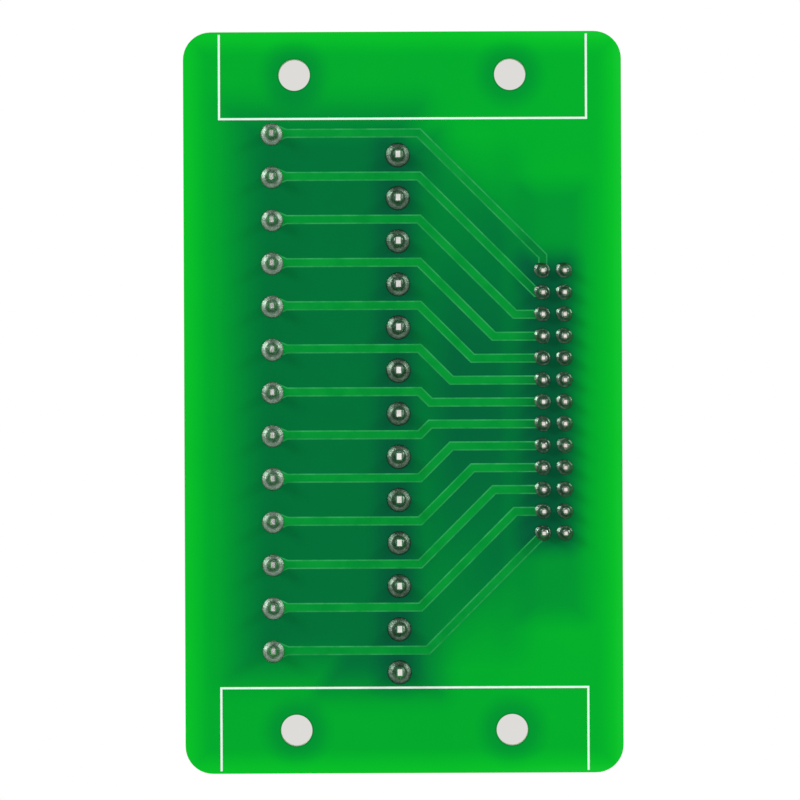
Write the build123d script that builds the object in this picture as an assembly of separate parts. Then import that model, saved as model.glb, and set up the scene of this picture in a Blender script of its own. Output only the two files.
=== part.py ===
from build123d import *
import os

os.makedirs("parts", exist_ok=True)

# A breakout board that takes a 26-way ribbon-cable header out to screw terminals. The header
# and a two-level terminal block stand on one side, and their tails are soldered on the other.
# +Z is the component side and z = 0 the solder face. The origin is the middle of the four
# mounting holes, X runs along the board and Y across it. Lengths are in millimetres.

# Board
board_length = 86.0
board_width = 50.8
board_thickness = 1.6
board_corner_radius = 3.2
mount_inset = 5.0
mount_spacing_y = 25.0
mount_hole_radius = 1.8

# Copper tracks, which stand a little proud of the laminate under the green mask
track_width = 1.0
fine_track_width = 0.5
track_relief = 0.05
track_run_out = 2.4

# Rows: 13 terminals on each of two levels, near one edge of the board, and a header with two
# rows of 13 pins near the other
ways = 13
pole_pitch = 5.0
header_pitch = 2.54
terminal_inset = 10.25
tail_row_spacing = 14.65
header_inset = 7.88

# Tails of the contacts, and their solder, whose widths are across flats
tail_width = 1.0
tail_drop = 2.2
tail_gap = 0.05
solder_foot = 2.6
solder_top = 1.4
solder_height = 1.4

# Clamp screw, with few sides because there are 26
screw_radius = 1.25
screw_gap = 0.1
screw_sides = 10
head_radius = 1.8
head_height = 1.8
head_gap = 0.15
head_recess = 1.0
slot_width = 0.7
slot_depth = 0.9
slot_step = 50.0

# Rising cage, which lifts the wire against the contact bar
cage_wall = 0.6
cage_nut = 1.4
cage_depth = 4.0
cage_gap = 0.1
cage_travel = 2.0
wire_space = 2.4

# Contact strips
strip_thickness = 0.8
strip_gap = 0.1
bar_gap = 0.3

# Terminal housing, two steps of equal depth
level_depth = 11.8
rear_wall = 2.7
stop_gap = 0.2
entry_flare = 0.5
entry_lip = 0.5
shoulder = 1.5
rear_chamfer = 0.8
groove = 0.5
standoff = 0.4
foot_width = 1.5
foot_inset = 0.3

# Header pins and their solder
pin_size = 0.64
pin_point = 0.15
pin_reach = 6.1
pin_drop = 1.7
pin_solder_foot = 1.8
pin_solder_top = 1.0
pin_solder_height = 1.1

# Header moulding
header_floor = 2.2
header_height = 9.0
header_wall = 1.2
socket_width = 6.5
socket_end_room = 3.5
key_width = 4.5
key_lip = 1.0

# Ejector latches, which tip outwards between the ears of the header's end towers
tower_length = 5.3
tower_width = 6.5
tower_height = 6.4
tower_floor = 0.7
tower_chamfer = 1.2
latch_thickness = 2.4
latch_gap = 0.1
pivot_radius = 0.7
pivot_gap = 0.05
pivot_rise = 2.4
hub_radius = 1.5
arm_width = 2.0
latch_height = 15.5
hook_height = 10.6
hook_reach = 1.6
hook_depth = 1.8
toe_thickness = 1.0
toe_reach = 2.5
grip_reach = 1.4
grip_depth = 3.0

# Places of the rows of tails and of the mounting holes
lower_tail_y = terminal_inset - board_width / 2
upper_tail_y = lower_tail_y + tail_row_spacing
header_y = board_width / 2 - header_inset
track_bend_y = upper_tail_y + track_run_out
mount_spacing_x = board_length - 2 * mount_inset

# Heights above the solder face
board_top = board_thickness
moulding_bottom = board_top + standoff
lower_base = moulding_bottom + strip_thickness

# Heights within one clamp, above its base
cage_bottom = stop_gap
wire_floor = cage_bottom + cage_wall
bar_bottom = wire_floor + wire_space
bar_top = bar_bottom + strip_thickness
window_top = bar_top + bar_gap
cage_top = window_top + cage_nut
pocket_top = cage_top + cage_travel + stop_gap
level_height = pocket_top + head_height + head_recess

# The upper level's wire entries just clear the lower level's deck
lower_top = lower_base + level_height
upper_base = lower_top + entry_lip + entry_flare - wire_floor
upper_top = upper_base + level_height

# Widths within one clamp: the screw's end passes down through the cage's window
window_width = 2 * (screw_radius + screw_gap)
cage_width = window_width + 2 * cage_wall
pocket_width = cage_width + 2 * cage_gap
strip_width = window_width - 2 * strip_gap
block_length = ways * pole_pitch

# Places across the board. The upper contacts' legs drop straight to their tails, the upper
# clamps stand in front of the legs, and the lower level repeats the section further forward.
clamp_front = cage_depth / 2 + cage_gap
clamp_back = clamp_front + strip_thickness
upper_clamp_y = upper_tail_y + strip_thickness / 2 - clamp_back
lower_clamp_y = upper_clamp_y - level_depth
block_back = upper_clamp_y + clamp_back + rear_wall
step_y = block_back - level_depth
block_front = step_y - level_depth
near_pin_y = header_y - header_pitch / 2
far_pin_y = header_y + header_pitch / 2

# Places along the board. The two levels are staggered by half a pitch.
stagger = pole_pitch / 4
middle_way = (ways - 1) / 2
lower_xs = [pole_pitch * (middle_way - i) + stagger for i in range(ways)]
upper_xs = [pole_pitch * (middle_way - i) - stagger for i in range(ways)]
header_xs = [header_pitch * (middle_way - i) for i in range(ways)]

# Header places
socket_length = header_pitch * (ways - 1) + pin_size + 2 * socket_end_room
box_length = socket_length + 2 * header_wall
box_width = socket_width + 2 * header_wall
header_top = moulding_bottom + header_height
socket_floor = moulding_bottom + header_floor
latch_slot = latch_thickness + 2 * latch_gap
pivot_x = (box_length + tower_length) / 2
pivot_z = moulding_bottom + pivot_rise
tower_end = box_length / 2 + tower_length


# A box between two corners
def block(x0, x1, y0, y1, z0, z1):
    size = Box(x1 - x0, y1 - y0, z1 - z0)
    return Pos((x0 + x1) / 2, (y0 + y1) / 2, (z0 + z1) / 2) * size


# A box centred on x, between two corners in Y and Z
def centred(x, width, y0, y1, z0, z1):
    return block(x - width / 2, x + width / 2, y0, y1, z0, z1)


# A profile in Y and Z, run along X from x0 to x1
def along_x(points, x0, x1):
    profile = Plane.YZ * make_face(Polyline(*points, close=True))
    return Pos(x0, 0, 0) * extrude(profile, x1 - x0)


# An upright prism, whose radius reaches its corners or, for a hole, its flats
def peg(x, y, z0, z1, radius):
    return Pos(x, y, z0) * extrude(RegularPolygon(radius, screw_sides), z1 - z0)


def hole(x, y, z0, z1, radius):
    flats = RegularPolygon(radius, screw_sides, major_radius=False)
    return Pos(x, y, z0) * extrude(flats, z1 - z0)


# A flat strip of even width along a bent line, with mitred corners
def ribbon(points, width):
    path = [Vector(*p) for p in points]
    runs = [(b - a).normalized() for a, b in zip(path, path[1:])]
    normals = [Vector(-run.Y, run.X) for run in runs]
    corners = [(a + b) / (1 + a.dot(b)) for a, b in zip(normals, normals[1:])]
    offsets = [normals[0], *corners, normals[-1]]
    left = [p + n * (width / 2) for p, n in zip(path, offsets)]
    right = [p - n * (width / 2) for p, n in zip(path, offsets)]
    return make_face(Polyline(*left, *reversed(right), close=True))


# The eight-sided foot of one solder cone on the board, of the given width across flats
def solder_print(x, y, foot):
    square = Rectangle(foot, foot)
    return Pos(x, y) * (square & (Rot(0, 0, 45) * square))


# From a lower terminal across the board, at 45 degrees towards its pin, and straight in,
# between the feet of the solder at its two ends. The last one bends later, so that its
# diagonal ends at the pin.
def solder_side_track(i):
    x, pin_x = lower_xs[i], header_xs[i]
    rise = abs(x - pin_x)
    last = i == ways - 1
    bend = near_pin_y - rise if last else track_bend_y
    run = min(rise, near_pin_y - bend)
    turn_x = x - run if x > pin_x else x + run
    points = [(x, lower_tail_y), (x, bend), (turn_x, bend + run)]
    if abs(pin_x - turn_x) + near_pin_y - bend - run > track_width / 2:
        points.append((pin_x, near_pin_y))
    strip = ribbon(points, track_width)
    strip -= solder_print(x, lower_tail_y, solder_foot)
    strip -= solder_print(pin_x, near_pin_y, pin_solder_foot)
    return extrude(strip, -track_relief)


# From an upper terminal to the lane between two near pins, and out to a far pin
def component_side_track(i):
    x, pin_x = upper_xs[i], header_xs[i]
    lane = pin_x + (header_pitch / 2 if x > pin_x else -header_pitch / 2)
    rise = abs(x - lane)
    if rise < fine_track_width:
        bends = [(x, header_y)]
    else:
        bends = [(x, track_bend_y), (lane, track_bend_y + rise), (lane, header_y)]
    points = [(x, upper_tail_y), *bends, (pin_x, far_pin_y)]
    return Pos(0, 0, board_top) * extrude(ribbon(points, fine_track_width), track_relief)


# Every tail: its place and its section. Solder fills the plated holes, so each opening is
# close to the tail's own section.
def tails():
    found = [(x, lower_tail_y, tail_width, strip_thickness) for x in lower_xs]
    found += [(x, upper_tail_y, tail_width, strip_thickness) for x in upper_xs]
    found += [(x, near_pin_y, pin_size, pin_size) for x in header_xs]
    found += [(x, far_pin_y, pin_size, pin_size) for x in header_xs]
    return found


def circuit_board():
    outline = RectangleRounded(board_length, board_width, board_corner_radius)
    outline -= GridLocations(mount_spacing_x, mount_spacing_y, 2, 2) * Circle(mount_hole_radius)
    board = extrude(outline, board_thickness)
    board += [solder_side_track(i) for i in range(ways)]
    board += [component_side_track(i) for i in range(ways)]
    openings = []
    for x, y, width, depth in tails():
        opening = Box(width + 2 * tail_gap, depth + 2 * tail_gap, 2 * board_thickness)
        openings.append(Pos(x, y, board_thickness / 2) * opening)
    return board - openings


# One eight-sided cone of solder, from the board's face down round a tail of the given
# section: what two square ones share, a half quarter turn apart
def solder_cone(foot, top, height, width, depth):
    inset = (foot - top) / 2
    square = Wedge(foot, height, foot, inset, inset, foot - inset, foot - inset)
    square = Pos(0, 0, -height / 2) * Rot(-90, 0, 0) * square
    cone = square & (Rot(0, 0, 45) * square)
    return cone - Box(width, depth, 3 * height)


def solder_joints():
    terminal = solder_cone(solder_foot, solder_top, solder_height, tail_width, strip_thickness)
    pin = solder_cone(pin_solder_foot, pin_solder_top, pin_solder_height, pin_size, pin_size)
    cones = [Pos(x, lower_tail_y) * terminal for x in lower_xs]
    cones += [Pos(x, upper_tail_y) * terminal for x in upper_xs]
    for y in (near_pin_y, far_pin_y):
        cones += [Pos(x, y) * pin for x in header_xs]
    return cones


# The openings for one clamp: its pocket, the well of its screw and the funnel for its wire
def clamp_openings(x, y, front, base, top, floor):
    pocket = centred(x, pocket_width, y - clamp_front, y + clamp_back, floor, base + pocket_top)
    well = hole(x, y, base + pocket_top, top, head_radius + head_gap)
    depth = y - clamp_front - front
    width, height = window_width + 2 * entry_flare, wire_space + 2 * entry_flare
    funnel = Wedge(
        width, depth, height,
        entry_flare, entry_flare, width - entry_flare, height - entry_flare,
    )
    wire_y, wire_z = front + depth / 2, base + wire_floor + wire_space / 2
    return [pocket, well, Pos(x, wire_y, wire_z) * funnel]


# One step of the housing, from its front to its back, with its grooves between the poles
def housing_step(xs, front, back, top, chamfer):
    x0 = min(xs) - pole_pitch / 2
    profile = [
        (front, moulding_bottom), (front, top - shoulder), (front + shoulder, top),
        (back - chamfer, top), (back, top - chamfer), (back, moulding_bottom),
    ]
    if not chamfer:
        profile.pop(3)
    return along_x(profile, x0, x0 + block_length)


def pole_grooves(xs, front, bottom, top):
    between = [x - pole_pitch / 2 for x in xs[:-1]]
    return [centred(x, groove, front, front + groove, bottom, top) for x in between]


# Small feet under the ends, which hold the moulding clear of the tracks
def housing_feet():
    feet = []
    bays = [
        (lower_xs, block_front, lower_clamp_y - clamp_front - foot_inset),
        (lower_xs, lower_clamp_y + clamp_back + foot_inset, step_y),
        (upper_xs, step_y, upper_clamp_y - clamp_front - foot_inset),
        (upper_xs, upper_clamp_y + clamp_back + foot_inset, block_back),
    ]
    for xs, y0, y1 in bays:
        low, high = min(xs) - pole_pitch / 2, max(xs) + pole_pitch / 2
        feet.append(block(low, low + foot_width, y0, y1, board_top, moulding_bottom))
        feet.append(block(high - foot_width, high, y0, y1, board_top, moulding_bottom))
    return feet


def terminal_housing():
    body = housing_step(lower_xs, block_front, step_y, lower_top, 0)
    body += housing_step(upper_xs, step_y, block_back, upper_top, rear_chamfer)
    body += housing_feet()
    cuts = []
    for x in lower_xs:
        cuts += clamp_openings(
            x, lower_clamp_y, block_front, lower_base, lower_top, moulding_bottom
        )
    leg_back = upper_clamp_y + clamp_back
    leg_front = leg_back - strip_thickness - strip_gap
    for x in upper_xs:
        cuts += clamp_openings(x, upper_clamp_y, step_y, upper_base, upper_top, upper_base)
        slot = strip_width + 2 * strip_gap
        cuts.append(centred(x, slot, leg_front, leg_back, moulding_bottom, upper_base))
    cuts += pole_grooves(lower_xs, block_front, moulding_bottom, lower_top)
    cuts += pole_grooves(upper_xs, step_y, lower_top, upper_top)
    return body - cuts


# The lower contact: a bar through the cage, down behind it, and forward to a tail below
def lower_contact(x):
    back = lower_clamp_y + clamp_back
    inner = back - strip_thickness
    tip = lower_clamp_y - cage_depth / 2
    toe = lower_tail_y - strip_thickness / 2
    low, high = lower_base + bar_bottom, lower_base + bar_top
    profile = [
        (tip, low), (tip, high), (back, high), (back, moulding_bottom),
        (toe, moulding_bottom), (toe, lower_base), (inner, lower_base), (inner, low),
    ]
    strip = along_x(profile, x - strip_width / 2, x + strip_width / 2)
    tail = centred(x, tail_width, toe, toe + strip_thickness, -tail_drop, moulding_bottom)
    return strip + tail


# The upper contact: a bar through the cage, with a leg straight down to its tail
def upper_contact(x):
    back = upper_clamp_y + clamp_back
    inner = back - strip_thickness
    tip = upper_clamp_y - cage_depth / 2
    low, high = upper_base + bar_bottom, upper_base + bar_top
    profile = [
        (tip, low), (tip, high), (back, high),
        (back, moulding_bottom), (inner, moulding_bottom), (inner, low),
    ]
    strip = along_x(profile, x - strip_width / 2, x + strip_width / 2)
    return strip + centred(x, tail_width, inner, back, -tail_drop, moulding_bottom)


def terminal_contacts():
    return [lower_contact(x) for x in lower_xs] + [upper_contact(x) for x in upper_xs]


# A slotted screw, whose end bears on the contact bar and whose head turns in its well
def clamp_screw(x, y, base, turn):
    neck = base + pocket_top
    top = neck + head_height
    slot = Rot(0, 0, turn) * Box(3 * head_radius, slot_width, 2 * slot_depth)
    screw = peg(x, y, neck, top, head_radius) + peg(x, y, base + bar_top, neck, screw_radius)
    return screw - Pos(x, y, top) * slot


# A cage bent from strip: a threaded top, two sides and a floor round a window for the wire
def clamp_cage(x, y, base):
    front, back = y - cage_depth / 2, y + cage_depth / 2
    cage = centred(x, cage_width, front, back, base + cage_bottom, base + cage_top)
    window = centred(x, window_width, front, back, base + wire_floor, base + window_top)
    thread = hole(x, y, base + window_top, base + cage_top, screw_radius + screw_gap / 2)
    return cage - window - thread


# One end tower of the header, at +X or, with side = -1, at -X, with its foot below
def latch_tower(side):
    start = box_length / 2
    top = moulding_bottom + tower_height
    profile = Polyline(
        (start, moulding_bottom), (start, top), (tower_end - tower_chamfer, top),
        (tower_end, top - tower_chamfer), (tower_end, moulding_bottom), close=True,
    )
    ears = extrude(Plane.XZ * make_face(profile), tower_width / 2, both=True)
    wide = tower_width / 2
    ears += block(tower_end - foot_width, tower_end, -wide, wide, board_top, moulding_bottom)
    pivot = Rot(90, 0, 0) * Cylinder(pivot_radius + pivot_gap, 2 * tower_width)
    ears -= Pos(pivot_x, 0, pivot_z) * pivot
    return ears if side > 0 else mirror(ears, Plane.YZ)


# The way for one latch, from its recess in the socket's floor out between the ears
def latch_way(side):
    inner = socket_length / 2 - toe_reach - latch_gap
    low, high = moulding_bottom + tower_floor, header_top
    way = block(inner, tower_end, -latch_slot / 2, latch_slot / 2, low, high)
    return way if side > 0 else mirror(way, Plane.YZ)


def header_body():
    half = box_width / 2
    body = block(-box_length / 2, box_length / 2, -half, half, moulding_bottom, header_top)
    body += [latch_tower(1), latch_tower(-1)]
    reach = socket_length / 2
    wall = socket_width / 2
    cuts = [block(-reach, reach, -wall, wall, socket_floor, header_top)]
    cuts.append(centred(0, key_width, wall, half, socket_floor + key_lip, header_top))
    cuts += [latch_way(1), latch_way(-1)]
    for x in header_xs:
        for y in (near_pin_y - header_y, far_pin_y - header_y):
            cuts.append(Pos(x, y, moulding_bottom) * Box(pin_size, pin_size, 3 * header_floor))
    return Pos(0, header_y, 0) * (body - cuts)


def header_pins():
    top = socket_floor + pin_reach
    pin = block(-pin_size / 2, pin_size / 2, -pin_size / 2, pin_size / 2, -pin_drop, top)
    pin = chamfer(pin.edges().group_by(Axis.Z)[-1], pin_point)
    return [Pos(x, y) * pin for y in (near_pin_y, far_pin_y) for x in header_xs]


# A lever with a hook over the plug, a toe beneath it and a grip at its top. The pivot pins
# stick out of its hub.
def ejector_latch(side):
    inner_x = pivot_x - arm_width / 2
    outer_x = pivot_x + arm_width / 2
    hook = moulding_bottom + hook_height
    top = moulding_bottom + latch_height
    toe_x = socket_length / 2 - toe_reach
    arm = Polyline(
        (toe_x, socket_floor - toe_thickness), (toe_x, socket_floor),
        (inner_x, socket_floor + toe_thickness), (inner_x, hook),
        (inner_x - hook_reach, hook), (inner_x, hook + hook_depth),
        (inner_x, top), (outer_x + grip_reach, top),
        (outer_x, top - grip_depth), (outer_x, pivot_z),
        (pivot_x, socket_floor - toe_thickness), close=True,
    )
    lever = Plane.XZ * make_face(arm)
    lever += Plane.XZ * Pos(pivot_x, pivot_z) * Circle(hub_radius)
    latch = extrude(lever, latch_thickness / 2, both=True)
    pin_length = tower_width - 2 * latch_gap
    latch += Pos(pivot_x, 0, pivot_z) * Rot(90, 0, 0) * Cylinder(pivot_radius, pin_length)
    latch = latch if side > 0 else mirror(latch, Plane.YZ)
    return Pos(0, header_y, 0) * latch


def save(name, solids):
    shape = Compound(solids) if isinstance(solids, list) else solids
    export_step(shape, f"parts/{name}.step")


def save_level(level, xs, y, base):
    for i, x in enumerate(xs):
        save(f"{level}_screw_{i + 1:02d}", clamp_screw(x, y, base, slot_step * i))
        save(f"{level}_clamp_{i + 1:02d}", clamp_cage(x, y, base))


save("circuit_board", circuit_board())
save("solder_joints", solder_joints())
save("terminal_housing", terminal_housing())
save("terminal_contacts", terminal_contacts())
save_level("lower", lower_xs, lower_clamp_y, lower_base)
save_level("upper", upper_xs, upper_clamp_y, upper_base)
save("header_body", header_body())
save("header_pins", header_pins())
save("front_latch", ejector_latch(1))
save("rear_latch", ejector_latch(-1))
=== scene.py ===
import bpy
import bmesh
import math
import random
from mathutils import Matrix, Vector, noise


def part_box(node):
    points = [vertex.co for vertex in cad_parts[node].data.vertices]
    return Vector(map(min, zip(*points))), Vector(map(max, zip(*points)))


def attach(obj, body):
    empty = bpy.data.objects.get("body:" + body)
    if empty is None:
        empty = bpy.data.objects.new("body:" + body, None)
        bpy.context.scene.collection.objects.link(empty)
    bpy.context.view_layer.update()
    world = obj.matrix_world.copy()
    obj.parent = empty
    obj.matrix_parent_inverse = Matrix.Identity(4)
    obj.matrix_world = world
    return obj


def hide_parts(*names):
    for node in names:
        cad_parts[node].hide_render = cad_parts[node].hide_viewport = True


# Breakout board: ribbon cable header to two levels of screw terminals.
# +Z is the component side, the solder face is at z = 0, X runs along the board.
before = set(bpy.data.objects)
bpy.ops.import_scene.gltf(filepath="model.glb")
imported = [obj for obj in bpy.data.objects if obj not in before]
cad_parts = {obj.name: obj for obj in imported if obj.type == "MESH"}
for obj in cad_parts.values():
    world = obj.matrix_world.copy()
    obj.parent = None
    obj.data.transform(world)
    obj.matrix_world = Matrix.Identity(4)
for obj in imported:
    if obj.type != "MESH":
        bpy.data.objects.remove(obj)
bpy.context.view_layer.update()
scene = bpy.context.scene
mm = 0.001
root = "board_assembly"

layout = {
    "poles": 13,
    "polePitch": 5.0 * mm,
    "pinPitch": 2.54 * mm,
    "stagger": 1.25 * mm,
    "frontTailY": -15.15 * mm,
    "rearTailY": -0.5 * mm,
    "nearPinY": 16.25 * mm,
    "farPinY": 18.79 * mm,
    "holeX": 38.0 * mm,
    "holeY": 12.5 * mm,
    "holeRadius": 1.8 * mm,
}


def rowPlaces(pitch, shift=0.0):
    middle = (layout["poles"] - 1) / 2
    return [pitch * (middle - i) + shift for i in range(layout["poles"])]


frontXs = rowPlaces(layout["polePitch"], layout["stagger"])
rearXs = rowPlaces(layout["polePitch"], -layout["stagger"])
pinXs = rowPlaces(layout["pinPitch"])


def linear(r, g, b):
    # a display colour, 0 to 255, as the shader's own numbers
    def one(v):
        v /= 255
        return v / 12.92 if v <= 0.04045 else ((v + 0.055) / 1.055) ** 2.4
    return (one(r), one(g), one(b), 1.0)


# Small helpers for meshes

meshWork = {"joinWithin": 1e-7, "flatAngle": 0.6, "sharpAngle": 30, "evenWeight": 80}


def finishPiece(name, bm, materials, body=root, smoothAngle=35, stands=(), even=False):
    bmesh.ops.recalc_face_normals(bm, faces=bm.faces[:])
    mesh = bpy.data.meshes.new(name)
    bm.to_mesh(mesh)
    bm.free()
    for material in materials:
        mesh.materials.append(material)
    obj = bpy.data.objects.new(name, mesh)
    scene.collection.objects.link(obj)
    mesh.shade_smooth()
    mesh.set_sharp_from_angle(angle=math.radians(smoothAngle))
    if even:
        # flat faces stay flat and only the eased edges turn
        normals = obj.modifiers.new("evenNormals", "WEIGHTED_NORMAL")
        normals.keep_sharp = True
        normals.weight = meshWork["evenWeight"]
    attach(obj, body)
    if stands:
        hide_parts(*stands)
    return obj


def flatten(bm):
    # loose triangles joined into clean flat faces, ready for bevels
    bmesh.ops.remove_doubles(bm, verts=bm.verts[:], dist=meshWork["joinWithin"])
    bmesh.ops.dissolve_limit(bm, angle_limit=math.radians(meshWork["flatAngle"]), verts=bm.verts[:],
                             edges=bm.edges[:])
    for face in bm.faces:
        face.material_index = 0
    return bm


def cadCopy(node):
    bm = bmesh.new()
    bm.from_mesh(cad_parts[node].data)
    return flatten(bm)


def toObject(name, bm):
    mesh = bpy.data.meshes.new(name)
    bm.to_mesh(mesh)
    bm.free()
    obj = bpy.data.objects.new(name, mesh)
    scene.collection.objects.link(obj)
    return obj


def cutAway(blankShape, cutterShape):
    # the first shape with the second taken out of it; both are used up
    for bm in (blankShape, cutterShape):
        bmesh.ops.recalc_face_normals(bm, faces=bm.faces[:])
    blank, cutter = toObject("blank", blankShape), toObject("cutter", cutterShape)
    cut = blank.modifiers.new("cut", "BOOLEAN")
    cut.operation = "DIFFERENCE"
    cut.solver = "MANIFOLD"
    cut.object = cutter
    bpy.context.view_layer.update()
    mesh = bpy.data.meshes.new_from_object(blank.evaluated_get(bpy.context.evaluated_depsgraph_get()))
    result = bmesh.new()
    result.from_mesh(mesh)
    bpy.data.meshes.remove(mesh)
    for obj in (blank, cutter):
        bpy.data.objects.remove(obj)
    return result


def roundEdges(bm, width, segments=2, only=None):
    edges = []
    for edge in bm.edges:
        if len(edge.link_faces) == 2 and edge.calc_face_angle(0) > math.radians(meshWork["sharpAngle"]):
            if only is None or only(edge):
                edges.append(edge)
    bmesh.ops.bevel(bm, geom=edges, offset=width, segments=segments, profile=0.5, affect="EDGES",
                    clamp_overlap=True, material=-1)


def ribbonOutline(points, width, ends=None):
    # left side out, right side back, with mitred corners; ends gives its own widths per point
    path = [Vector(p) for p in points]
    widths = ends or [width] * len(path)
    runs = [(b - a).normalized() for a, b in zip(path, path[1:])]
    normals = [Vector((-run.y, run.x)) for run in runs]
    corners = [(a + b) / (1 + a.dot(b)) for a, b in zip(normals, normals[1:])]
    offsets = [normals[0], *corners, normals[-1]]
    left = [p + n * (w / 2) for p, n, w in zip(path, offsets, widths)]
    right = [p - n * (w / 2) for p, n, w in zip(path, offsets, widths)]
    return left + right[::-1]


def raisedShape(bm, outline, back, level, inset=0.0, topIndex=0, sideIndex=0):
    # a closed low relief: from back, through z = 0, to level, its sides sloping in by inset
    face = bm.faces.new([bm.verts.new((p.x, p.y, back)) for p in outline])
    grown = bmesh.ops.extrude_face_region(bm, geom=[face])["geom"]
    top = [g for g in grown if isinstance(g, bmesh.types.BMFace)][0]
    for vert in top.verts:
        vert.co.z = 0.0
    for edge in top.edges:
        for side in edge.link_faces:
            side.material_index = sideIndex
    if inset:
        rim = bmesh.ops.inset_region(bm, faces=[top], thickness=inset, depth=0, use_boundary=True,
                                     use_even_offset=True)["faces"]
        for side in rim:
            side.material_index = sideIndex
    for vert in top.verts:
        vert.co.z = level
    top.material_index = topIndex


# Node groups that several materials share

def newGroup(name, inputs, outputs):
    group = bpy.data.node_groups.new(name, "ShaderNodeTree")
    for socketName, kind, value in inputs:
        socket = group.interface.new_socket(name=socketName, in_out="INPUT", socket_type=kind)
        if value is not None:
            socket.default_value = value
    for socketName, kind in outputs:
        group.interface.new_socket(name=socketName, in_out="OUTPUT", socket_type=kind)
    return group, group.nodes.new("NodeGroupInput"), group.nodes.new("NodeGroupOutput")


class Wiring:
    # short ways to add and join nodes in one tree
    def __init__(self, tree):
        self.tree = tree

    def node(self, kind, **settings):
        made = self.tree.nodes.new(kind)
        for key, value in settings.items():
            setattr(made, key, value)
        return made

    def join(self, source, target):
        self.tree.links.new(source, target)

    def feed(self, made, values):
        for key, value in values.items():
            socket = made.inputs[key]
            if isinstance(value, bpy.types.NodeSocket):
                self.join(value, socket)
            else:
                socket.default_value = value
        return made

    def math(self, operation, a, b=None, c=None, clamp=False):
        made = self.node("ShaderNodeMath", operation=operation, use_clamp=clamp)
        values = {0: a}
        if b is not None:
            values[1] = b
        if c is not None:
            values[2] = c
        return self.feed(made, values).outputs[0]

    def vector(self, operation, a, b=None):
        made = self.node("ShaderNodeVectorMath", operation=operation)
        self.feed(made, {0: a})
        if b is not None:
            self.feed(made, {1: b})
        return made.outputs["Value" if operation in ("LENGTH", "DOT_PRODUCT") else "Vector"]

    def ramp(self, value, low, high, toLow=0.0, toHigh=1.0):
        made = self.node("ShaderNodeMapRange", interpolation_type="SMOOTHSTEP")
        self.feed(made, {"Value": value, "From Min": low, "From Max": high,
                         "To Min": toLow, "To Max": toHigh})
        return made.outputs["Result"]

    def mix(self, factor, a, b):
        made = self.node("ShaderNodeMix", data_type="RGBA", clamp_factor=True)
        self.feed(made, {0: factor, 6: a, 7: b})
        return made.outputs[2]

    def noise(self, vector, scale, detail=2.0, rough=0.5):
        made = self.node("ShaderNodeTexNoise")
        self.feed(made, {"Vector": vector, "Scale": scale, "Detail": detail, "Roughness": rough})
        return made.outputs["Fac"]


def makeCoverGroup():
    # how deep a point lies in a soft-edged box: 1 well inside, 0 well outside
    group, start, end = newGroup("softBox", [
        ("Vector", "NodeSocketVector", None), ("Centre", "NodeSocketVector", None),
        ("Half", "NodeSocketVector", None), ("Outside", "NodeSocketFloat", 0.001),
        ("Inside", "NodeSocketFloat", 0.001),
    ], [("Mask", "NodeSocketFloat")])
    w = Wiring(group)
    away = w.vector("SUBTRACT", start.outputs["Vector"], start.outputs["Centre"])
    past = w.vector("SUBTRACT", w.vector("ABSOLUTE", away), start.outputs["Half"])
    parts = w.feed(w.node("ShaderNodeSeparateXYZ"), {0: past})
    outX = w.math("MAXIMUM", parts.outputs[0], 0.0)
    outY = w.math("MAXIMUM", parts.outputs[1], 0.0)
    flat = w.feed(w.node("ShaderNodeCombineXYZ"), {0: outX, 1: outY})
    outer = w.vector("LENGTH", flat.outputs[0])
    inner = w.math("MINIMUM", w.math("MAXIMUM", parts.outputs[0], parts.outputs[1]), 0.0)
    distance = w.math("ADD", outer, inner)
    deep = w.math("MULTIPLY", start.outputs["Inside"], -1.0)
    w.join(w.ramp(distance, deep, start.outputs["Outside"], 1.0, 0.0), end.inputs["Mask"])
    return group


def makeGrainGroup():
    # broad mottling and fine grain over the surface, both 0 to 1
    group, start, end = newGroup("surfaceGrain", [
        ("Vector", "NodeSocketVector", None), ("Broad", "NodeSocketFloat", 200.0),
        ("Fine", "NodeSocketFloat", 3000.0),
    ], [("Mottle", "NodeSocketFloat"), ("Grain", "NodeSocketFloat")])
    w = Wiring(group)
    w.join(w.noise(start.outputs["Vector"], start.outputs["Broad"], 3.0, 0.6), end.inputs["Mottle"])
    w.join(w.noise(start.outputs["Vector"], start.outputs["Fine"], 2.0, 0.5), end.inputs["Grain"])
    return group


softBox = makeCoverGroup()
surfaceGrain = makeGrainGroup()


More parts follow.
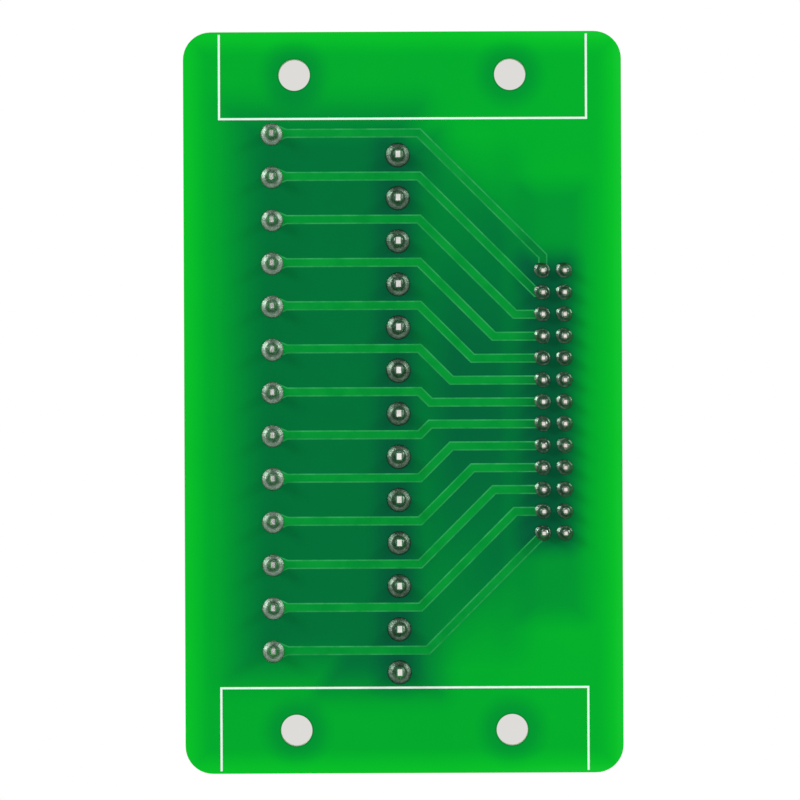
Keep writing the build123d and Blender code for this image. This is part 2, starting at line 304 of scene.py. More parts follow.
class Finish(Wiring):
    # one material, its Principled shader and its Object coordinates
    def __init__(self, name, **sockets):
        self.material = bpy.data.materials.new(name)
        self.material.use_nodes = True
        super().__init__(self.material.node_tree)
        self.shader = self.tree.nodes["Principled BSDF"]
        self.place = self.node("ShaderNodeTexCoord").outputs["Object"]
        for key, value in sockets.items():
            self.shader.inputs[key.replace("_", " ")].default_value = value

    def grain(self, broad, fine):
        made = self.node("ShaderNodeGroup", node_tree=surfaceGrain)
        self.feed(made, {"Vector": self.place, "Broad": broad, "Fine": fine})
        return made.outputs["Mottle"], made.outputs["Grain"]

    def box(self, centre, half, outside, inside):
        made = self.node("ShaderNodeGroup", node_tree=softBox)
        self.feed(made, {
            "Vector": self.place, "Centre": [v * mm for v in (*centre, 0)],
            "Half": [v * mm for v in (*half, 0)], "Outside": outside * mm, "Inside": inside * mm,
        })
        return made.outputs["Mask"]

    def band(self, value, rise, fall):
        # 0 before the rise, 1 between the two and 0 past the fall, with both spans in mm
        up = self.ramp(value, rise[0] * mm, rise[1] * mm)
        down = self.ramp(value, fall[0] * mm, fall[1] * mm, 1.0, 0.0)
        return self.math("MULTIPLY", up, down)

    def colour(self, socket):
        self.join(socket, self.shader.inputs["Base Color"])

    def rough(self, socket):
        self.join(socket, self.shader.inputs["Roughness"])

    def bump(self, height, depth, strength=1.0):
        made = self.node("ShaderNodeBump")
        self.feed(made, {"Height": height, "Distance": depth, "Strength": strength})
        self.join(made.outputs["Normal"], self.shader.inputs["Normal"])


# Finishes

boardFinish = {
    # painted light and shade: brightness of the green, 0 to 255, and what the parts behind the laminate add
    # or take
    "open": 168, "edge": 22, "slant": 5, "block": -56, "legs": -20, "fan": -70, "header": -25,
    "pins": -55, "inside": -12, "outside": 7, "holes": -22, "mottle": 3.0, "component": 160,
    # soft-edged boxes in mm: centre, half size, softness outside and inside the line
    "edgeBox": ((0, 0), (43, 25.4), -0.05, 3.2),
    "rearBlockBox": ((1.25, -9.1), (33.0, 11.1), 3.6, 5.4),
    "frontBlockBox": ((-1.25, -2.9), (32.3, 6.9), 3.0, 4.0),
    "legsBox": ((-1.25, -0.9), (31.0, 0.8), 3.0, 0.4),
    "fanBox": ((0, 8.7), (40, 4.3), 3.4, 2.4),
    "headerBox": ((0, 17.3), (24.6, 3.3), 2.4, 1.6),
    "pinsBox": ((0, 16.8), (15.8, 2.0), 3.2, 1.4),
    # the other places and spans, in mm
    "slantSpan": (4, 20), "fanEnd": 31, "reachMiddle": 0.85,
    "insideReach": ((24, 31), (31.9, 32.7)), "insideAcross": ((1, 4), (13.5, 15.5)),
    "outsideReach": ((32.3, 34), (36, 43)), "outsideAcross": ((5, 10), (10, 14)),
    "holeShade": (2.0, 4.8), "holeRim": (1.80, 1.84), "holeLine": (1.84, 2.04), "lineDepth": 0.6,
    "undersideSpan": (0.7, 0.9),
    "rimTone": (172, 205, 168), "lineTone": (0, 92, 40),
    "tones": [(60, (6, 60, 48)), (80, (5, 80, 57)), (100, (3, 100, 57)), (116, (1, 116, 55)),
              (145, (1, 145, 50)), (168, (1, 168, 44)), (190, (6, 190, 40)), (215, (40, 215, 70))],
}


def seepingLight(f, x, y, fromHole):
    # painted light and shade: how bright the laminate looks from the solder side, lighter near its edges,
    # darker where parts stand behind it and round the holes
    s = boardFinish
    level = f.math("MULTIPLY_ADD", f.box(*s["edgeBox"]), -s["edge"], s["open"] + s["edge"])
    near, far = s["slantSpan"]
    level = f.math("ADD", f.ramp(y, near * mm, far * mm, 0.0, s["slant"]), level)
    block = f.math("MAXIMUM", f.box(*s["rearBlockBox"]), f.box(*s["frontBlockBox"]))
    along = f.math("DIVIDE", x, s["fanEnd"] * mm)
    spread = f.math("SUBTRACT", 1.0, f.math("MULTIPLY", along, along), clamp=True)
    # abs(x) + y is the same all along the outermost slanting tracks, where the tone steps
    reach = f.math("ADD", f.math("ABSOLUTE", f.math("SUBTRACT", x, s["reachMiddle"] * mm)), y)
    masks = {
        "block": block,
        "legs": f.box(*s["legsBox"]),
        "fan": f.math("MULTIPLY", spread, f.box(*s["fanBox"])),
        "header": f.box(*s["headerBox"]),
        "pins": f.box(*s["pinsBox"]),
        "inside": f.math("MULTIPLY", f.band(reach, *s["insideReach"]), f.band(y, *s["insideAcross"])),
        "outside": f.math("MULTIPLY", f.band(reach, *s["outsideReach"]), f.band(y, *s["outsideAcross"])),
        "holes": f.ramp(fromHole, s["holeShade"][0] * mm, s["holeShade"][1] * mm, 1.0, 0.0),
    }
    for name, mask in masks.items():
        level = f.math("MULTIPLY_ADD", mask, s[name], level)
    return level


def toneOfLevel(f, level):
    made = f.node("ShaderNodeValToRGB")
    points = made.color_ramp.elements
    first, *between, last = boardFinish["tones"]
    for point, (at, tone) in zip(points, (first, last)):
        point.position = at / 255
        point.color = linear(*tone)
    for at, tone in between:
        points.new(at / 255).color = linear(*tone)
    f.feed(made, {0: f.math("DIVIDE", level, 255.0)})
    return made.outputs[0]


def makeBoardMaskPaintedLight():
    s = boardFinish
    f = Finish("solderMaskGreenPaintedLight", Roughness=0.32, Specular_IOR_Level=0.015)
    x, y, z = f.feed(f.node("ShaderNodeSeparateXYZ"), {0: f.place}).outputs
    mottle, grain = f.grain(90.0, 2600.0)
    offX = f.math("SUBTRACT", f.math("ABSOLUTE", x), layout["holeX"])
    offY = f.math("SUBTRACT", f.math("ABSOLUTE", y), layout["holeY"])
    toHole = f.feed(f.node("ShaderNodeCombineXYZ"), {0: offX, 1: offY})
    fromHole = f.vector("LENGTH", toHole.outputs[0])
    level = seepingLight(f, x, y, fromHole)
    level = f.math("MULTIPLY_ADD", f.math("SUBTRACT", mottle, 0.5), 2 * s["mottle"], level)
    # the component side has one even tone, without the painted light and shade
    underside = f.ramp(z, s["undersideSpan"][0] * mm, s["undersideSpan"][1] * mm, 1.0, 0.0)
    level = f.math("MULTIPLY_ADD", f.math("SUBTRACT", level, s["component"]), underside, s["component"])
    # a pale ring painted at each hole's edge, a painted highlight of its lit cut wall, and a thin darker ring
    # outside it
    rim = f.ramp(fromHole, s["holeRim"][0] * mm, s["holeRim"][1] * mm, 1.0, 0.0)
    line = f.ramp(fromHole, s["holeLine"][0] * mm, s["holeLine"][1] * mm, s["lineDepth"], 0.0)
    tone = f.mix(f.math("MULTIPLY", line, underside), toneOfLevel(f, level), linear(*s["lineTone"]))
    f.colour(f.mix(rim, tone, linear(*s["rimTone"])))
    f.rough(f.math("MULTIPLY_ADD", grain, 0.12, 0.28))
    f.bump(f.math("MULTIPLY_ADD", grain, 0.4, mottle), 0.004 * mm, 0.5)
    return f.material


def makeLaminate():
    f = Finish("laminateEdge", Roughness=0.6, Specular_IOR_Level=0.25)
    stretched = f.node("ShaderNodeMapping")
    f.feed(stretched, {"Vector": f.place, "Scale": (1, 1, 26)})
    plies = f.noise(stretched.outputs[0], 700.0, 2.0, 0.6)
    f.colour(f.mix(f.ramp(plies, 0.35, 0.7), linear(120, 168, 92), linear(196, 208, 150)))
    f.bump(plies, 0.01 * mm, 0.6)
    return f.material


trackFinish = {
    # two tones in the open and two darker ones behind the header, painted shade of the header through the
    # laminate
    "open": ((6, 150, 54), (0, 138, 50)), "shaded": ((6, 128, 54), (0, 118, 50)),
    "shadeBox": ((0, 17.5), (21, 3.4), 2.0, 1.0),
    # paler on the sloping edges, partly where the mask thins over the copper and partly a painted highlight
    # where the edges catch light
    "edge": ((52, 166, 92), (20, 146, 66)),
}


def makeTrackTop():
    f = Finish("maskOverCopper", Roughness=0.3, Specular_IOR_Level=0.02)
    mottle, grain = f.grain(260.0, 3200.0)
    shade = f.box(*trackFinish["shadeBox"])
    pairs = zip(trackFinish["open"], trackFinish["shaded"])
    light, dark = [f.mix(shade, linear(*lit), linear(*shaded)) for lit, shaded in pairs]
    f.colour(f.mix(f.ramp(mottle, 0.3, 0.75), light, dark))
    f.rough(f.math("MULTIPLY_ADD", grain, 0.12, 0.26))
    f.bump(mottle, 0.004 * mm, 0.5)
    return f.material


def makeTrackEdge():
    f = Finish("maskOnTrackEdge", Roughness=0.3, Specular_IOR_Level=0.03)
    mottle, grain = f.grain(500.0, 3200.0)
    light, dark = [linear(*tone) for tone in trackFinish["edge"]]
    f.colour(f.mix(f.ramp(mottle, 0.25, 0.75), light, dark))
    f.rough(f.math("MULTIPLY_ADD", grain, 0.12, 0.26))
    return f.material


def makeInk():
    f = Finish("whiteInk", Roughness=0.55, Specular_IOR_Level=0.1)
    mottle, grain = f.grain(900.0, 5200.0)
    f.colour(f.mix(f.ramp(mottle, 0.2, 0.8), linear(236, 252, 242), linear(214, 244, 226)))
    f.bump(grain, 0.003 * mm, 0.6)
    return f.material


solderFinish = {"mottle": 1500.0, "bump": 0.08 * mm, "rimSpan": (-0.36 * mm, -0.04 * mm)}


def makeSolder(name, bright, dull, rim, rough, fine):
    f = Finish(name, Metallic=1.0, Roughness=rough)
    height = f.feed(f.node("ShaderNodeSeparateXYZ"), {0: f.place}).outputs[2]
    mottle, grain = f.grain(solderFinish["mottle"], fine)
    tone = f.mix(f.ramp(mottle, 0.32, 0.68), bright, dull)
    # darker and greener where it thins out on the board, a painted reflection of the green board
    f.colour(f.mix(f.ramp(height, *solderFinish["rimSpan"]), tone, rim))
    f.rough(f.math("MULTIPLY_ADD", grain, 0.22, rough - 0.1))
    f.bump(f.math("MULTIPLY_ADD", grain, 0.7, mottle), solderFinish["bump"], 0.8)
    return f.material


def makeMetal(name, light, dark, rough, broad=700.0, fine=4200.0, depth=0.01):
    f = Finish(name, Metallic=1.0, Roughness=rough)
    mottle, grain = f.grain(broad, fine)
    f.colour(f.mix(f.ramp(mottle, 0.3, 0.7), light, dark))
    f.rough(f.math("MULTIPLY_ADD", grain, 0.2, rough - 0.1))
    f.bump(grain, depth * mm, 0.5)
    return f.material


def makePlastic(name, light, dark, rough, broad=160.0, fine=2400.0, depth=0.02, level=0.4):
    f = Finish(name, Roughness=rough, Specular_IOR_Level=level)
    mottle, grain = f.grain(broad, fine)
    f.colour(f.mix(f.ramp(mottle, 0.25, 0.75), light, dark))
    f.rough(f.math("MULTIPLY_ADD", grain, 0.2, rough - 0.1))
    f.bump(grain, depth * mm, 0.5)
    return f.material


boardMaskPaintedLight = makeBoardMaskPaintedLight()
laminate = makeLaminate()
trackTop = makeTrackTop()
trackEdge = makeTrackEdge()
whiteInk = makeInk()
# the solder tones are tinted green and darkened as a painted reflection of the green board, the rear row most
frontSolderPaintedReflection = makeSolder("solderFrontPaintedReflection", bright=(0.52, 0.65, 0.54, 1), dull=(0.27, 0.38, 0.29, 1),
                        rim=(0.24, 0.38, 0.27, 1), rough=0.46, fine=5600.0)
rearSolderPaintedReflection = makeSolder("solderRearPaintedReflection", bright=(0.36, 0.47, 0.38, 1), dull=(0.14, 0.22, 0.16, 1),
                        rim=(0.05, 0.12, 0.07, 1), rough=0.42, fine=5200.0)
pinSolderPaintedReflection = makeSolder("solderPinsPaintedReflection", bright=(0.56, 0.66, 0.58, 1), dull=(0.22, 0.31, 0.25, 1),
                        rim=(0.14, 0.24, 0.17, 1), rough=0.32, fine=5200.0)
tinned = makeMetal("tinnedMetal", (0.90, 0.89, 0.87, 1), (0.70, 0.69, 0.66, 1), 0.32)
plated = makeMetal("zincPlate", (0.78, 0.78, 0.76, 1), (0.60, 0.60, 0.57, 1), 0.30)
nickel = makeMetal("nickelPlate", (0.74, 0.72, 0.68, 1), (0.56, 0.54, 0.50, 1), 0.30)
pinPlate = makeMetal("pinPlate", (0.88, 0.85, 0.80, 1), (0.72, 0.69, 0.63, 1), 0.28)
housingGreen = makePlastic("housingGreen", linear(44, 140, 90), linear(40, 133, 85), 0.46, broad=420.0)
headerBlack = makePlastic("headerBlack", linear(44, 44, 46), linear(34, 34, 36), 0.5)
latchBlack = makePlastic("latchBlack", linear(48, 48, 50), linear(38, 38, 40), 0.42)
print("finishes made")

# Board: a flat panel with rounded corners, on which the relief is laid

panelShape = {"thickness": 1.6 * mm, "cornerRadius": 3.2 * mm, "cornerSteps": 10, "holeSteps": 56}


def roundedPanel():
    s = panelShape
    low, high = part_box("circuit_board")
    bm = bmesh.new()
    bmesh.ops.create_grid(bm, x_segments=1, y_segments=1, size=0.5)
    bmesh.ops.scale(bm, vec=(high.x - low.x, high.y - low.y, 1), verts=bm.verts[:])
    bmesh.ops.translate(bm, vec=((high.x + low.x) / 2, (high.y + low.y) / 2, 0), verts=bm.verts[:])
    bmesh.ops.bevel(bm, geom=bm.verts[:], offset=s["cornerRadius"], segments=s["cornerSteps"], profile=0.5,
                    affect="VERTICES", clamp_overlap=True, material=-1)
    bmesh.ops.delete(bm, geom=bm.faces[:], context="FACES_ONLY")
    for x in (layout["holeX"], -layout["holeX"]):
        for y in (layout["holeY"], -layout["holeY"]):
            bmesh.ops.create_circle(bm, cap_ends=False, segments=s["holeSteps"], radius=layout["holeRadius"],
                                    matrix=Matrix.Translation((x, y, 0)))
    bmesh.ops.triangle_fill(bm, edges=bm.edges[:], use_beauty=True)
    grown = bmesh.ops.extrude_face_region(bm, geom=bm.faces[:])["geom"]
    for vert in [g for g in grown if isinstance(g, bmesh.types.BMVert)]:
        vert.co.z = s["thickness"]
    bmesh.ops.recalc_face_normals(bm, faces=bm.faces[:])
    for face in bm.faces:
        face.material_index = 0 if abs(face.normal.z) > 0.5 else 1
    return bm


finishPiece("boardPanel", roundedPanel(), [boardMaskPaintedLight, laminate], stands=["circuit_board"], even=True)

trackShape = {
    "width": 1.06 * mm, "relief": 0.05 * mm, "slope": 0.15 * mm, "sunk": 0.02 * mm,
    "bendY": 1.9 * mm, "teardropWidth": 1.9 * mm, "teardropFrom": 0.75 * mm, "teardropTo": 1.72 * mm,
    "fineWidth": 0.5 * mm, "fineSlope": 0.08 * mm,
}


def solderSideTrack(bm, i):
    s = trackShape
    x, pinX = frontXs[i], pinXs[i]
    rise = abs(x - pinX)
    nearY, tailY = layout["nearPinY"], layout["frontTailY"]
    bend = nearY - rise if i == layout["poles"] - 1 else s["bendY"]
    run = min(rise, nearY - bend)
    turnX = x - run if x > pinX else x + run
    points = [(x, tailY), (x, tailY + s["teardropFrom"]), (x, tailY + s["teardropTo"]),
              (x, bend), (turnX, bend + run)]
    widths = [s["teardropWidth"], s["teardropWidth"], s["width"], s["width"], s["width"]]
    if abs(pinX - turnX) + nearY - bend - run > s["width"] / 2:
        points.append((pinX, nearY))
        widths.append(s["width"])
    raisedShape(bm, ribbonOutline(points, s["width"], widths), s["sunk"], -s["relief"], s["slope"], 0, 1)


tracks = bmesh.new()
for i in range(layout["poles"]):
    solderSideTrack(tracks, i)
finishPiece("solderSideTracks", tracks, [trackTop, trackEdge], smoothAngle=10)


def componentSideTrack(bm, i):
    s = trackShape
    x, pinX = rearXs[i], pinXs[i]
    lane = pinX + (layout["pinPitch"] / 2 if x > pinX else -layout["pinPitch"] / 2)
    rise = abs(x - lane)
    headerY = (layout["nearPinY"] + layout["farPinY"]) / 2
    if rise < s["fineWidth"]:
        bends = [(x, headerY)]
    else:
        bends = [(x, s["bendY"]), (lane, s["bendY"] + rise), (lane, headerY)]
    points = [(x, layout["rearTailY"]), *bends, (pinX, layout["farPinY"])]
    raisedShape(bm, ribbonOutline(points, s["fineWidth"]), s["sunk"], -s["relief"], s["fineSlope"], 0, 1)


upperTracks = bmesh.new()
for i in range(layout["poles"]):
    componentSideTrack(upperTracks, i)
for vert in upperTracks.verts:
    vert.co.z = panelShape["thickness"] - vert.co.z
finishPiece("componentSideTracks", upperTracks, [trackTop, trackEdge], smoothAngle=10)

# the print sits a little off the middle of the board, as a screen leaves it
inkShape = {
    "line": 0.25 * mm, "height": 0.022 * mm, "sunk": 0.01 * mm, "offX": -0.08 * mm, "offY": 0.05 * mm,
    "sideY": 21.28 * mm, "acrossX": 33.0 * mm, "endX": 42.7 * mm,
}


def printedLine(bm, points):
    raisedShape(bm, ribbonOutline(points, inkShape["line"]), inkShape["sunk"], -inkShape["height"])


ink = bmesh.new()
for side in (1, -1):
    s = inkShape
    left, right = s["offY"] - s["sideY"], s["offY"] + s["sideY"]
    across, end = s["offX"] + side * s["acrossX"], side * s["endX"]
    printedLine(ink, [(end, left), (across, left), (across, right), (end, right)])
finishPiece("printedFrames", ink, [whiteInk], smoothAngle=20)

# outlines of the mouldings on the component side, each of four strokes
partPrint = bmesh.new()
for node, gap in (("terminal_housing", 0.45 * mm), ("header_body", 0.45 * mm)):
    low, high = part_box(node)
    x0, x1, y0, y1 = low.x - gap, high.x + gap, low.y - gap, high.y + gap
    half = inkShape["line"] / 2
    for x in (x0, x1):
        printedLine(partPrint, [(x, y0 - half), (x, y1 + half)])
    for y in (y0, y1):
        printedLine(partPrint, [(x0 + half, y), (x1 - half, y)])
for vert in partPrint.verts:
    vert.co.z = panelShape["thickness"] - vert.co.z
finishPiece("partOutlines", partPrint, [whiteInk], smoothAngle=20)
print("board made")

# Solder: a turned profile for each row, leant and roughened a little

solderShapes = {
    # radius and height in mm, from the board out to the tip
    "front": {
        "profile": [(1.305, 0.03), (1.305, 0.0), (1.28, -0.09), (1.18, -0.16), (1.02, -0.24), (0.86, -0.325),
                    (0.74, -0.42), (0.655, -0.57), (0.60, -0.88), (0.56, -1.32), (0.49, -1.74), (0.36, -1.90),
                    (0.0, -1.93)],
        "steps": 36, "lean": (0.16, 0.02), "foot": (-0.10, 0.0), "rough": 0.022, "swing": 0.05,
    },
    "rear": {
        "profile": [(1.40, 0.03), (1.41, 0.0), (1.38, -0.07), (1.26, -0.14), (1.10, -0.225), (0.94, -0.32),
                    (0.80, -0.43), (0.725, -0.64), (0.695, -0.98), (0.67, -1.35), (0.63, -1.68),
                    (0.55, -1.88), (0.36, -1.98), (0.0, -2.0)],
        "steps": 36, "lean": (0.08, 0.08), "foot": (-0.06, -0.05), "rough": 0.035, "swing": 0.08,
    },
    "header": {
        "profile": [(0.88, 0.03), (0.885, 0.0), (0.87, -0.06), (0.79, -0.11), (0.70, -0.18), (0.62, -0.30),
                    (0.56, -0.50), (0.52, -0.80), (0.48, -1.10), (0.38, -1.32), (0.0, -1.38)],
        "steps": 28, "lean": (0.03, 0.05), "foot": (0.0, -0.03), "rough": 0.022, "swing": 0.05,
        "toe": (0.09, -0.19),
    },
    # how one joint differs from the next
    "tallSpread": 0.05, "wideSpread": 0.02, "noiseShift": 9, "sideScale": 1400, "endScale": 900,
}


def turnedProfile(bm, profile, steps):
    verts = [bm.verts.new((radius, 0, height)) for radius, height in profile]
    edges = [bm.edges.new(pair) for pair in zip(verts, verts[1:])]
    bmesh.ops.spin(bm, geom=verts + edges, cent=(0, 0, 0), axis=(0, 0, 1), angle=math.tau,
                   steps=steps, use_merge=True, use_duplicate=False)
    bmesh.ops.remove_doubles(bm, verts=bm.verts[:], dist=meshWork["joinWithin"])
    rim = [e for e in bm.edges if e.is_boundary]
    if rim:
        bmesh.ops.contextual_create(bm, geom=rim)


def solderJoint(s, dice):
    bm = bmesh.new()
    turnedProfile(bm, [(radius * mm, height * mm) for radius, height in s["profile"]], s["steps"])
    depth = -s["profile"][-1][1] * mm
    foot, lean, toe = (Vector((*s.get(key, (0, 0)), 0)) * mm for key in ("foot", "lean", "toe"))
    tall = min(1.0, 1 + dice.uniform(-1, 1) * solderShapes["tallSpread"])
    wide = 1 + dice.uniform(-1, 1) * solderShapes["wideSpread"]
    swing = Vector((dice.uniform(-1, 1), dice.uniform(-1, 1), 0)) * s["swing"] * mm
    far = solderShapes["noiseShift"]
    shift = Vector((dice.uniform(-far, far), dice.uniform(-far, far), dice.uniform(-far, far)))
    rough = s["rough"] * mm
    for vert in bm.verts:
        high = min(1.0, max(0.0, -vert.co.z / depth))
        bulge = noise.noise(vert.co * solderShapes["sideScale"] + shift) * rough * (0.3 + high)
        away = Vector((vert.co.x, vert.co.y, 0))
        if away.length > 1e-6:
            away.normalize()
            vert.co += away * bulge
            # the toe runs out over the board on one side
            vert.co += toe * max(0.0, away.dot(toe.normalized())) ** 2 * (1 - high) ** 6
        if vert.co.z < 0:
            sag = noise.noise(vert.co * solderShapes["endScale"] - shift) * rough * high
            vert.co.z = vert.co.z * tall + sag
        vert.co.x *= wide
        vert.co.y *= wide
        vert.co += foot * (1 - high) + (lean + swing) * high * high
    return bm


def solderRow(name, kind, places, material, seed, stands=()):
    dice = random.Random(seed)
    row = bmesh.new()
    for x, y in places:
        joint = solderJoint(solderShapes[kind], dice)
        bmesh.ops.translate(joint, vec=(x, y, 0), verts=joint.verts[:])
        part = bpy.data.meshes.new("joint")
        joint.to_mesh(part)
        joint.free()
        row.from_mesh(part)
        bpy.data.meshes.remove(part)
    return finishPiece(name, row, [material], smoothAngle=70, stands=stands)


frontTails = [(x, layout["frontTailY"]) for x in frontXs]
rearTails = [(x, layout["rearTailY"]) for x in rearXs]
nearPins = [(x, layout["nearPinY"]) for x in pinXs]
farPins = [(x, layout["farPinY"]) for x in pinXs]
solderRow("solderFrontRow", "front", frontTails, frontSolderPaintedReflection, 3, ["solder_joints"])
solderRow("solderRearRow", "rear", rearTails, rearSolderPaintedReflection, 8)
solderRow("solderNearPins", "header", nearPins, pinSolderPaintedReflection, 21)
solderRow("solderFarPins", "header", farPins, pinSolderPaintedReflection, 34)
print("solder made")

# Contacts and pins, with a bevel round the cut end of each tail

tipShape = {
    "frontBevel": 0.18 * mm, "rearBevel": 0.13 * mm, "pinBevel": 0.13 * mm,
    "rowsPartY": -10 * mm, "endBand": 0.01 * mm,
}


def bevelTips(bm, width, fromY=-math.inf, toY=math.inf):
    end = min(v.co.z for v in bm.verts) + tipShape["endBand"]

    def isTip(edge):
        return fromY < edge.verts[0].co.y < toY and any(v.co.z < end for v in edge.verts)

    roundEdges(bm, width, 1, only=isTip)


contacts = cadCopy("terminal_contacts")
bevelTips(contacts, tipShape["frontBevel"], toY=tipShape["rowsPartY"])
bevelTips(contacts, tipShape["rearBevel"], fromY=tipShape["rowsPartY"])
finishPiece("terminalContacts", contacts, [tinned], stands=["terminal_contacts"])

pins = cadCopy("header_pins")
bevelTips(pins, tipShape["pinBevel"])
finishPiece("headerPins", pins, [pinPlate], stands=["header_pins"])

# Mouldings

screwShape = {
    # in mm, apart from the steps round and the angle that the slot turns from one screw to the next
    "headRadius": 1.78, "headHeight": 1.8, "rim": 0.22, "rimStep": 0.07,
    "slotWidth": 0.7, "slotDepth": 0.9, "slotReach": 5.0, "slotStep": 50.0,
    "shank": 1.22, "root": 1.04, "lead": 0.45, "flank": 0.12, "valley": 0.20, "crest": 0.32,
    "threadGap": 0.3, "threadEnd": 0.5, "pointHeight": 0.3, "pointInset": 0.25, "steps": 28,
}
housingShape = {
    "wellRadius": 2.1 * mm, "wellSteps": 40, "wellReach": 8 * mm,
    "easing": 0.12 * mm, "easeAbove": 2.5 * mm, "neckBand": 0.1 * mm,
}
latchEasing = 0.14 * mm


def wellCutters():
    # a round cutter over each screw, and the heights at which the wells narrow
    s = housingShape
    cutters = bmesh.new()
    necks = []
    for level, xs in (("lower", frontXs), ("upper", rearXs)):
        low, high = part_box(f"{level}_screw_01")
        neck = high.z - screwShape["headHeight"] * mm
        necks.append(neck)
        for x in xs:
            well = bmesh.ops.create_cone(cutters, cap_ends=True, segments=s["wellSteps"],
                                         radius1=s["wellRadius"], radius2=s["wellRadius"],
                                         depth=s["wellReach"])["verts"]
            middle = (x, (low.y + high.y) / 2, neck + s["wellReach"] / 2)
            bmesh.ops.translate(cutters, vec=middle, verts=well)
    return cutters, necks


def boredHousing():
    # the CAD housing with its screw wells turned round
    s = housingShape
    cutters, necks = wellCutters()
    housing = flatten(cutAway(cadCopy("terminal_housing"), cutters))

    # ease what shows, and leave the foot of each well as it is
    def isOpen(vert):
        return vert.co.z > s["easeAbove"] and all(abs(vert.co.z - neck) > s["neckBand"] for neck in necks)

    roundEdges(housing, s["easing"], only=lambda edge: all(isOpen(vert) for vert in edge.verts))
    return housing


def easedHeader():
    s = housingShape
    header = cadCopy("header_body")
    roundEdges(header, s["easing"], only=lambda edge: all(v.co.z > s["easeAbove"] for v in edge.verts))
    return header


finishPiece("terminalHousing", boredHousing(), [housingGreen], even=True,
            stands=["terminal_housing"])
finishPiece("headerMoulding", easedHeader(), [headerBlack], even=True, stands=["header_body"])
for side in ("front", "rear"):
    node = f"{side}_latch"
    latch = cadCopy(node)
    roundEdges(latch, latchEasing)
    finishPiece(f"{side}Latch", latch, [latchBlack], body=node, even=True, stands=[node])
print("mouldings made")

# Screws: slotted heads on turned shanks

def screwMesh(bottom, top):
    s = {key: value * mm for key, value in screwShape.items()}
    neck = top - s["headHeight"]
    profile = [(0.0, top), (s["headRadius"] - s["rim"], top),
               (s["headRadius"] - s["rimStep"], top - s["rimStep"]), (s["headRadius"], top - s["rim"]),
               (s["headRadius"], neck), (s["shank"], neck)]
    z = neck - s["threadGap"]
    while z > bottom + s["threadEnd"]:
        profile += [(s["shank"], z), (s["root"], z - s["flank"]),
                    (s["root"], z - s["valley"]), (s["shank"], z - s["crest"])]
        z -= s["lead"]
    profile += [(s["shank"], bottom + s["pointHeight"]), (s["shank"] - s["pointInset"], bottom),
                (0.0, bottom)]
    bm = bmesh.new()
    turnedProfile(bm, profile, screwShape["steps"])
    return bm


def slotCutter(x, y, top, turn):
    s = screwShape
    size = Vector((s["slotReach"], s["slotWidth"], 2 * s["slotDepth"])) * mm
    turned = Matrix.Rotation(math.radians(turn), 3, "Z")
    bm = bmesh.new()
    bmesh.ops.create_cube(bm, size=1.0)
    bmesh.ops.scale(bm, vec=size, verts=bm.verts[:])
    bmesh.ops.rotate(bm, cent=(0, 0, 0), matrix=turned, verts=bm.verts[:])
    bmesh.ops.translate(bm, vec=(x, y, top), verts=bm.verts[:])
    return bm


for level, xs in (("lower", frontXs), ("upper", rearXs)):
    low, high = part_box(f"{level}_screw_01")
    y = (low.y + high.y) / 2
    for i, x in enumerate(xs):
        screw = screwMesh(low.z, high.z)
        bmesh.ops.translate(screw, vec=(x, y, 0), verts=screw.verts[:])
        screw = cutAway(screw, slotCutter(x, y, high.z, screwShape["slotStep"] * i))
        name = f"{level}_screw_{i + 1:02d}"
        finishPiece(f"{level}Screw{i + 1:02d}", screw, [plated], body=name, stands=[name])
print("screws made")

for name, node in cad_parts.items():
    if "_clamp_" in name:
        node.data.materials.clear()
        node.data.materials.append(nickel)

# Floor, light and camera

studio = {
    # what lights the object, and what metal mirrors between the horizon and straight up or down
    "ambient": 0.78, "horizon": 0.12, "sky": 0.72, "skySpan": (0.34, 0.62), "zenithSpan": (0.88, 0.98),
    "flag": (0.80, 0.0, -0.60), "flagSpan": (0.80, 0.94), "flagDepth": 0.9,
    "floorZ": -2.2 * mm, "floorSize": 6.0, "floorFade": (0.16, 0.42), "floorTone": (0.93, 0.93, 0.93, 1),
    # the card behind the board, its grey glow painted shade
    "cardZ": 29.0 * mm, "cardSize": (41.5 * mm, 22.0 * mm), "paintedShadeTone": (222, 220, 217),
    "lamps": [
        # name, direction to the lamp, distance, width, height, watts
        ("keyBelow", (0.45, -0.77, -0.50), 0.9, 0.26, 0.26, 2.6),
        ("fillBelow", (0.46, 0.78, -0.44), 0.9, 0.20, 0.28, 1.7),
        ("keyAbove", (0.55, -0.60, 0.75), 0.9, 0.45, 0.45, 2.4),
        ("fillAbove", (-0.50, 0.70, 0.60), 0.9, 0.45, 0.45, 1.3),
    ],
}


def stagePlane(name, halfX, halfY, z, material):
    bm = bmesh.new()
    bmesh.ops.create_grid(bm, x_segments=1, y_segments=1, size=1.0)
    bmesh.ops.scale(bm, vec=(halfX, halfY, 1), verts=bm.verts[:])
    bmesh.ops.translate(bm, vec=(0, 0, z), verts=bm.verts[:])
    plane = toObject(name, bm)
    plane.data.materials.append(material)


def makeOneSided(name, surface, seen):
    # a surface where seen is 1, and nothing at all where it is 0
    material = bpy.data.materials.new(name)
    material.use_nodes = True
    w = Wiring(material.node_tree)
    w.tree.nodes.clear()
    both = w.node("ShaderNodeMixShader")
    w.join(seen(w), both.inputs[0])
    w.join(w.node("ShaderNodeBsdfTransparent").outputs[0], both.inputs[1])
    w.join(surface(w), both.inputs[2])
    w.join(both.outputs[0], w.node("ShaderNodeOutputMaterial").inputs[0])
    return material


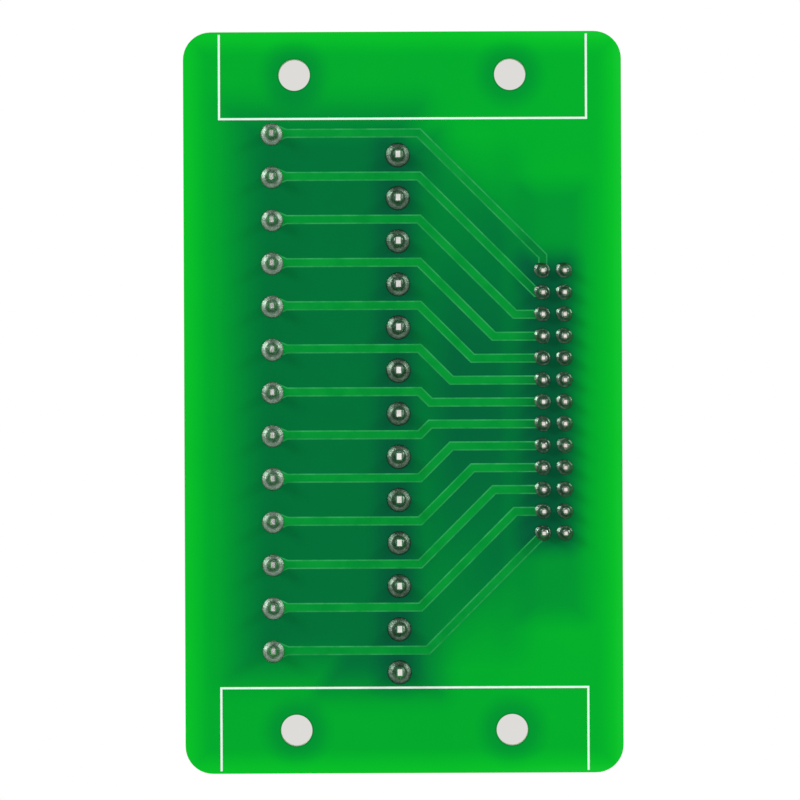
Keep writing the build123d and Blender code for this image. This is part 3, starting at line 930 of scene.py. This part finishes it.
def makeFloor():
    # seen from above only, so that the solder side can be looked at through it; light
    # that has already bounced meets it as a solid floor
    def seen(w):
        path = w.node("ShaderNodeLightPath")
        depth = w.math("ADD", path.outputs["Diffuse Depth"], path.outputs["Is Shadow Ray"])
        met = w.math("MAXIMUM", path.outputs["Is Camera Ray"], w.math("GREATER_THAN", depth, 1.5))
        front = w.math("SUBTRACT", 1.0, w.node("ShaderNodeNewGeometry").outputs["Backfacing"])
        return w.math("MULTIPLY", met, front)

    def surface(w):
        pale = w.feed(w.node("ShaderNodeBsdfDiffuse"), {"Color": studio["floorTone"]})
        white = w.feed(w.node("ShaderNodeEmission"), {"Color": (1, 1, 1, 1), "Strength": 1.0})
        distance = w.vector("LENGTH", w.node("ShaderNodeTexCoord").outputs["Object"])
        near, far = studio["floorFade"]
        fade = w.node("ShaderNodeMixShader")
        w.join(w.ramp(distance, near, far), fade.inputs[0])
        w.join(pale.outputs[0], fade.inputs[1])
        w.join(white.outputs[0], fade.inputs[2])
        return fade.outputs[0]

    half = studio["floorSize"] / 2
    stagePlane("floor", half, half, studio["floorZ"], makeOneSided("paleFloor", surface, seen))


def makePaintedShadeCard():
    # a pale grey card behind the board, glowing with its own colour, which shows through the mounting holes
    # from the solder side as painted shade
    def seen(w):
        path = w.node("ShaderNodeLightPath")
        geometry = w.node("ShaderNodeNewGeometry")
        return w.math("MULTIPLY", path.outputs["Is Camera Ray"], geometry.outputs["Backfacing"])

    def surface(w):
        tone = linear(*studio["paintedShadeTone"])
        return w.feed(w.node("ShaderNodeEmission"), {"Color": tone, "Strength": 1.0}).outputs[0]

    halfX, halfY = studio["cardSize"]
    stagePlane("paintedShadeCard", halfX, halfY, studio["cardZ"], makeOneSided("paintedShadeCardFinish", surface, seen))


def makeWorld():
    world = bpy.data.worlds.new("studio")
    scene.world = world
    world.use_nodes = True
    w = Wiring(world.node_tree)
    back = w.tree.nodes["Background"]
    light = w.node("ShaderNodeLightPath")
    direction = w.node("ShaderNodeTexCoord").outputs["Generated"]
    parts = w.feed(w.node("ShaderNodeSeparateXYZ"), {0: direction})
    height = w.math("ABSOLUTE", parts.outputs[2])
    sky = w.ramp(height, *studio["skySpan"], studio["horizon"], studio["sky"])
    sky = w.math("MAXIMUM", sky, w.ramp(height, *studio["zenithSpan"]))
    # a dark card held beside the camera, as metal shows it
    card = w.vector("DOT_PRODUCT", direction, studio["flag"])
    card = w.ramp(card, *studio["flagSpan"], 1.0, 1.0 - studio["flagDepth"])
    mirrored = w.math("MULTIPLY", sky, card)
    isSeen = w.math("MAXIMUM", light.outputs["Is Camera Ray"], light.outputs["Is Transmission Ray"])
    level = w.math("MULTIPLY_ADD", light.outputs["Is Glossy Ray"],
                   w.math("SUBTRACT", mirrored, studio["ambient"]), studio["ambient"])
    level = w.math("MAXIMUM", level, isSeen)
    w.join(level, back.inputs["Strength"])
    back.inputs["Color"].default_value = (1, 1, 1, 1)


def makeLamps():
    for name, direction, distance, width, height, watts in studio["lamps"]:
        data = bpy.data.lights.new(name, "AREA")
        data.shape = "RECTANGLE"
        data.size = width
        data.size_y = height
        data.energy = watts
        lamp = bpy.data.objects.new(name, data)
        way = Vector(direction).normalized()
        lamp.location = way * distance
        lamp.rotation_euler = way.to_track_quat("Z", "Y").to_euler()
        scene.collection.objects.link(lamp)


viewpoint = {
    "aimX": 0.275 * mm, "aimY": -0.375 * mm, "distance": 0.9, "across": 92.78 * mm, "tilt": 0.23,
    "sensor": 36, "farthest": 10,
}


def makeCamera():
    v = viewpoint
    data = bpy.data.cameras.new("camera")
    data.sensor_width = v["sensor"]
    data.lens = v["sensor"] * v["distance"] / v["across"]
    data.clip_end = v["farthest"]
    camera = bpy.data.objects.new("camera", data)
    a = math.radians(v["tilt"])
    right = Vector((-math.sin(a), math.cos(a), 0))
    up = Vector((math.cos(a), math.sin(a), 0))
    turn = Matrix((right, up, right.cross(up))).transposed()
    place = Matrix.Translation((v["aimX"], v["aimY"], -v["distance"]))
    camera.matrix_world = place @ turn.to_4x4()
    scene.collection.objects.link(camera)
    scene.camera = camera


makeFloor()
makePaintedShadeCard()
makeWorld()
makeLamps()
makeCamera()
scene.view_settings.view_transform = "Standard"
print("studio made")
